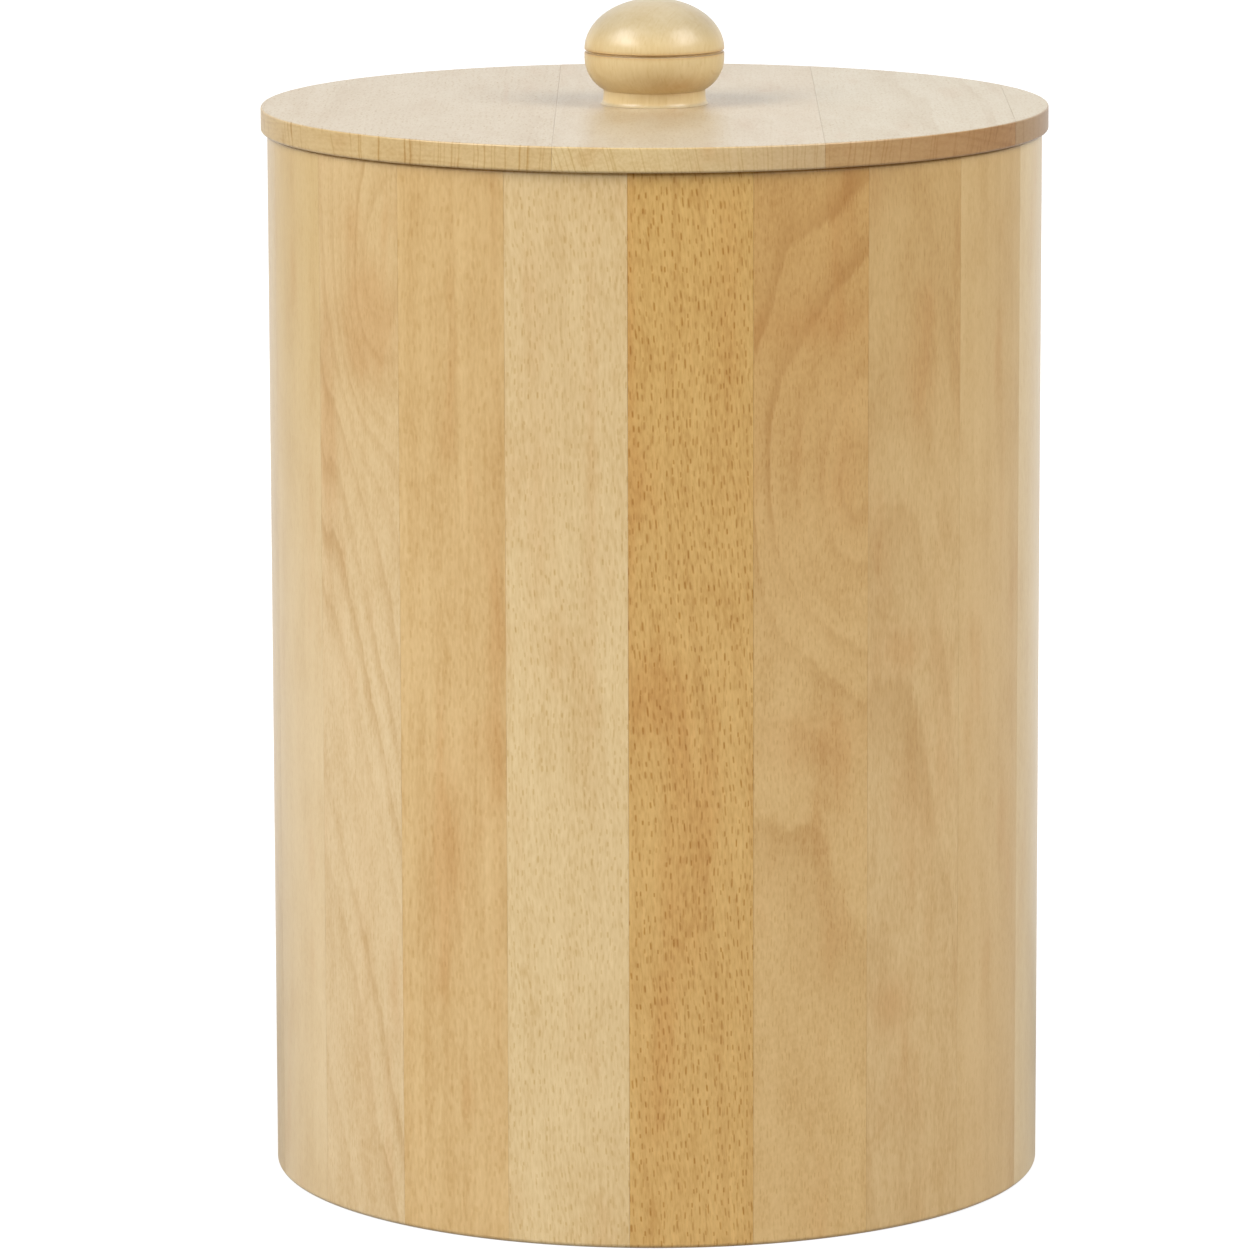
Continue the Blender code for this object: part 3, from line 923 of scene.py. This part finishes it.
def add_staves():
    """The wall. Each stave's rim shows end grain, a darker tone of the stave's own colour."""
    for number in range(1, STAVE_COUNT + 1):
        name = f"stave_{number:02d}"
        look = dict(SEEN_STAVES.get(number) or back_stave(number))
        slot = look.pop("slot")
        rim = tuple(share * part for share, part in zip(RIM_SHARES, look["base"]))
        look["end_grain"] = (rim, *RIM_FACING)
        material = beech(name + "_beech", axes=STAVE_AXES, seed=number, **look)
        angle = FRONT_JOINT_ANGLE + (number - 0.5) * STAVE_ANGLE
        stand_in(name + "_fine", stave_mesh(name + "_fine"), material, "bin", name, angle=angle)


# Seeds of the pieces that aren't staves, and the height of the finest relief on the lid and the knob, in mm
PANEL_SEED = 41
DISC_SEED = 47
LID_SEED = 60
KNOB_SEED = 71
FINE_RELIEF = 0.02


def add_bottom_panel():
    """The panel with broken arrises, in the groove of the staves."""
    section = disc_section(PANEL_RADIUS, PANEL_THICKNESS, PANEL_ARRIS, PANEL_ARRIS)
    mesh = mesh_of("bottom_panel_fine", turned(section, DISC_FACETS))
    material = beech(
        "panel_veneer",
        PANEL_BEECH,
        PANEL_AXES,
        PANEL_SEED,
        gloss=MATT,
        pith_depth=150.0,
        rise=0.04,
        ring_width=5.0,
    )
    stand_in("bottom_panel_fine", mesh, material, "bin", "bottom_panel", z=PANEL_Z)


# The lid's boards from left to right. Their base colour, on the top, is darkened below the staves' beech as
# painted shade against the strong light from above
LID_BOARDS = (
    dict(
        slot="beech_pale",
        base=(0.505, 0.405, 0.265),
        end_grain=((0.625, 0.44, 0.20), *EDGE_FACING),
        pith_side=6.0,
        pith_depth=260.0,
        rise=0.006,
        ring_width=1.3,
        swirl=1.0,
        rings=0.9,
        rays=0.7,
        fine_rays=0.5,
        ray_share=0.5,
        blotches=0.9,
        patches=((24.2, 20.0, 0.7, 30.0, 0.9),),
    ),
    dict(
        slot="beech_tan",
        base=(0.51, 0.41, 0.27),
        end_grain=((0.685, 0.51, 0.252), *EDGE_FACING),
        end_grain_fade=((0.545, 0.375, 0.185), -14.0, 35.0),
        pith_side=20.0,
        pith_depth=150.0,
        rise=0.01,
        ring_width=2.2,
        rings=0.4,
        rays=0.35,
        fine_rays=0.35,
        blotches=1.1,
        islands=((20.2, 29.0, 3.0, 6.0, 3.0),),
        patches=((20.2, 29.0, 1.4, 1.6, 3.0),),
    ),
    dict(
        slot="beech_pale",
        base=(0.51, 0.425, 0.285),
        end_grain=((0.50, 0.305, 0.125), *EDGE_FACING),
        end_grain_fade=((0.405, 0.215, 0.079), -26.0, 24.0),
        pith_side=-20.0,
        pith_depth=120.0,
        rise=0.01,
        ring_width=2.0,
        rings=0.7,
        rays=0.4,
        fine_rays=0.4,
        blotches=1.1,
    ),
    dict(
        slot="beech_tan",
        base=(0.505, 0.42, 0.28),
        end_grain=((0.41, 0.25, 0.115), *EDGE_FACING),
        pith_depth=120.0,
        rise=0.01,
        ring_width=3.0,
        rings=0.6,
        rays=0.4,
        blotches=0.8,
    ),
)


def add_lid():
    """The lid's boards, and the disc under them that finds the mouth."""
    lows = (None, *LID_JOINTS)
    highs = (*LID_JOINTS, None)
    for index, (low, high) in enumerate(zip(lows, highs)):
        name = f"lid_board_{index + 1}"
        left = -LID_RADIUS if low is None else low
        right = LID_RADIUS if high is None else high
        look = dict(LID_BOARDS[index])
        slot = look.pop("slot")
        material = beech(
            name + "_beech",
            axes=board_axes((left + right) / 2),
            seed=LID_SEED + index,
            gloss=LID_SATIN,
            relief=FINE_RELIEF,
            **look,
        )
        mesh = lid_board_mesh(name + "_fine", low, high)
        stand_in(name + "_fine", mesh, material, "lid", name, z=LID_Z)
    countersink = (
        (COUNTERSINK_RADIUS, 0),
        (COUNTERSINK_RADIUS, COUNTERSINK_FLAT),
        (SCREW_HOLE_RADIUS, COUNTERSINK_DEPTH),
        (SCREW_HOLE_RADIUS, DISC_THICKNESS),
    )
    section = disc_section(DISC_RADIUS, DISC_THICKNESS, DISC_ARRIS, PANEL_ARRIS, countersink)
    mesh = mesh_of("locating_disc_fine", turned(section, DISC_FACETS))
    material = beech(
        "disc_veneer",
        PANEL_BEECH,
        DISC_AXES,
        DISC_SEED,
        gloss=MATT,
        pith_depth=140.0,
        rise=0.03,
        ring_width=5.0,
    )
    stand_in("locating_disc_fine", mesh, material, "lid", "lid_locating_disc", z=DISC_Z)


def add_knob():
    """The knob is turned along the grain, so its crown is end grain, which takes the lacquer darker. The
    crown's darker colour is also painted shade, against the strong light from above.
    """
    material = beech(
        "knob_beech",
        (0.68, 0.52, 0.27),
        KNOB_AXES,
        KNOB_SEED,
        end_grain=((0.485, 0.39, 0.235), *CROWN_FACING),
        gloss=KNOB_SATIN,
        relief=FINE_RELIEF,
        pith_side=30.0,
        pith_depth=50.0,
        rise=0.05,
        ring_width=4.0,
        rings=0.3,
        rays=0.1,
        fine_rays=0.15,
        ray_share=0.5,
        blotches=0.8,
        fibres=0.5,
        # The second patch is painted shade: a warm, darker band in the knob's groove
        patches=((7.0, 5.5, 7.0, 2.5, 0.8), (0.0, 13.2, 60.0, 0.6, 4.0)),
    )
    stand_in("knob_fine", knob_mesh("knob_fine"), material, "lid", "knob", z=KNOB_Z)


ZINC = (0.60, 0.60, 0.58, 1)
DULL_ZINC = (0.50, 0.49, 0.47, 1)
TURNING_MARKS_PER_METRE = 9000.0
CLOUDS_PER_METRE = 600.0
ZINC_ROUGHNESS = 0.32
ROUGHNESS_OF_MARKS = 0.08
MARK_BUMP = 0.4
MARK_HEIGHT = 0.00002


def dress_screw():
    """The screw keeps its solid, in bright zinc with fine turning marks."""
    material = bpy.data.materials.new("zinc_plating")
    material.use_nodes = True
    g = Graph(material.node_tree)
    shader = material.node_tree.nodes["Principled BSDF"]
    place = g.node("TexCoord").outputs["Object"]
    x, y, z = g.split(place)
    turned_place = g.vector("MULTIPLY", g.join(g.length(x, y), z, 0.0), (TURNING_MARKS_PER_METRE,) * 3)
    marks = g.noise(turned_place, 1.0)
    clouds = g.noise(g.vector("MULTIPLY", place, (CLOUDS_PER_METRE,) * 3), 2.0)
    tone = g.math("MULTIPLY_ADD", clouds, 0.5, 0.5, clamp=True)
    g.feed(shader.inputs["Base Color"], g.mix(tone, ZINC, DULL_ZINC))
    g.feed(shader.inputs["Metallic"], 1.0)
    g.feed(shader.inputs["Roughness"], g.math("MULTIPLY_ADD", marks, ROUGHNESS_OF_MARKS, ZINC_ROUGHNESS))
    bump = g.node("Bump")
    g.feed(bump.inputs["Strength"], MARK_BUMP)
    g.feed(bump.inputs["Distance"], MARK_HEIGHT)
    g.feed(bump.inputs["Height"], marks)
    g.feed(shader.inputs["Normal"], bump.outputs[0])
    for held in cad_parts["knob_screw"].material_slots:
        held.material = material


# The camera that was fitted to the photograph, in metres, millimetres and degrees
CAMERA_PLACE = (0, -1.96078, 0.48451)
CAMERA_LENS = 222.17
CAMERA_SENSOR = 36.0
CAMERA_PAN = 0.191
CAMERA_TILT = 90 - 10.027
CAMERA_ROLL = -0.145
VIEW_DEPTH = 50.0


def add_camera():
    """The photograph's view, from two metres away and a little above the lid."""
    data = bpy.data.cameras.new("camera")
    data.lens = CAMERA_LENS
    data.sensor_width = CAMERA_SENSOR
    data.clip_end = VIEW_DEPTH
    camera = bpy.data.objects.new("camera", data)
    turn = Matrix.Rotation(radians(CAMERA_PAN), 4, "Z") @ Matrix.Rotation(radians(CAMERA_TILT), 4, "X")
    roll = Matrix.Rotation(radians(CAMERA_ROLL), 4, "Z")
    camera.matrix_world = Matrix.Translation(CAMERA_PLACE) @ turn @ roll
    bpy.context.scene.collection.objects.link(camera)
    bpy.context.scene.camera = camera


# Strengths of the surroundings: ahead of the bin, added behind it, and in reflections from the front
AMBIENT = 0.10
BACK_AMBIENT = 0.20
AMBIENT_FADE = (-0.3, 0.9)
DIM_REFLECTION = 0.15

# Cosines of the angles from straight behind, where reflections are dim and where they have the full shine
FLOOR_REFLECTIONS = (0.70, 0.97)
WALL_REFLECTIONS = (0.35, 0.85)


def backdrop(g, x, y, near, reflections, shine=1.0):
    """A white studio wall behind the bin: of strength near to the camera, dimmer in reflections.

    Gives that strength, and how far behind the bin a direction or a point of the floor lies, -1 to 1.
    """
    rays = g.node("LightPath")
    direct = g.math("MAXIMUM", rays.outputs["Is Camera Ray"], rays.outputs["Is Transmission Ray"])
    behind = g.math("DIVIDE", y, g.math("ADD", g.length(x, y), 0.001))
    mirrored = g.smooth(behind, *reflections)
    mirrored = g.math("MULTIPLY_ADD", mirrored, shine - DIM_REFLECTION, DIM_REFLECTION)
    mirrored = g.math("MULTIPLY", mirrored, rays.outputs["Is Glossy Ray"])
    return g.math("MAXIMUM", g.math("MULTIPLY", direct, near), mirrored), behind


FLOOR_HALF = 8.0
FLOOR_ALBEDO = 0.35
FLOOR_GLOW = 0.76
FLOOR_GLOW_FADE = (0.15, 0.9)
FLOOR_SHINE = 0.66


def add_floor():
    """A pale floor, white from afar, that keeps the object's shadow close by."""
    mesh = bpy.data.meshes.new("floor")
    half = FLOOR_HALF
    corners = [(-half, -half, 0), (half, -half, 0), (half, half, 0), (-half, half, 0)]
    mesh.from_pydata(corners, [], [(0, 1, 2, 3)])
    floor = bpy.data.objects.new("floor", mesh)
    bpy.context.scene.collection.objects.link(floor)
    material = bpy.data.materials.new("pale_floor")
    material.use_nodes = True
    tree = material.node_tree
    tree.nodes.clear()
    g = Graph(tree)
    matt = g.node("BsdfDiffuse")
    g.feed(matt.inputs["Color"], (FLOOR_ALBEDO, FLOOR_ALBEDO, FLOOR_ALBEDO, 1))
    glow = g.node("Emission")
    x, y = g.split(g.node("TexCoord").outputs["Object"])[:2]
    near = g.smooth(g.length(x, y), *FLOOR_GLOW_FADE)
    near = g.math("MULTIPLY_ADD", near, 1 - FLOOR_GLOW, FLOOR_GLOW)
    strength = backdrop(g, x, y, near, FLOOR_REFLECTIONS, FLOOR_SHINE)[0]
    g.feed(glow.inputs["Strength"], strength)
    both = g.node("AddShader")
    g.feed(both.inputs[0], matt.outputs[0])
    g.feed(both.inputs[1], glow.outputs[0])
    out = g.node("OutputMaterial")
    g.feed(out.inputs["Surface"], both.outputs[0])
    mesh.materials.append(material)


def add_world():
    """Even soft light from all round, and the wall behind the bin."""
    world = bpy.data.worlds.new("studio")
    bpy.context.scene.world = world
    world.use_nodes = True
    g = Graph(world.node_tree)
    background = world.node_tree.nodes["Background"]
    x, y = g.split(g.node("TexCoord").outputs["Generated"])[:2]
    g.feed(background.inputs["Color"], (1, 1, 1, 1))
    strength, behind = backdrop(g, x, y, 1.0, WALL_REFLECTIONS)
    ambient = g.math("MULTIPLY_ADD", g.smooth(behind, *AMBIENT_FADE), BACK_AMBIENT, AMBIENT)
    g.feed(background.inputs["Strength"], g.math("MAXIMUM", strength, ambient))


# Softboxes: azimuth from the camera's side, positive to the right, and elevation, in degrees; then width and
# height in metres, and watts
LAMPS = {
    "key_left": (-66, 42, 1.6, 1.8, 66.0),
    "key_right": (66, 42, 1.6, 1.8, 58.0),
    "fill_left": (-46, 31, 1.15, 1.0, 27.0),
    "fill_right": (46, 31, 1.5, 1.4, 22.0),
}
LAMP_DISTANCE = 3.0
LAMP_AIM = Vector((0, 0, 0.15))


def add_softbox(name, azimuth, elevation, width, height, power):
    """A softbox that faces the bin."""
    data = bpy.data.lights.new(name, "AREA")
    data.shape = "RECTANGLE"
    data.size = width
    data.size_y = height
    data.energy = power
    lamp = bpy.data.objects.new(name, data)
    a = radians(azimuth)
    e = radians(elevation)
    lamp.location = LAMP_AIM + LAMP_DISTANCE * Vector((sin(a) * cos(e), -cos(a) * cos(e), sin(e)))
    lamp.rotation_euler = (LAMP_AIM - lamp.location).to_track_quat("-Z", "Y").to_euler()
    bpy.context.scene.collection.objects.link(lamp)


add_camera()
add_staves()
add_bottom_panel()
add_lid()
add_knob()
dress_screw()
add_floor()
add_world()
for lamp_name, settings in LAMPS.items():
    add_softbox(lamp_name, *settings)
bpy.context.scene.view_settings.view_transform = "Standard"
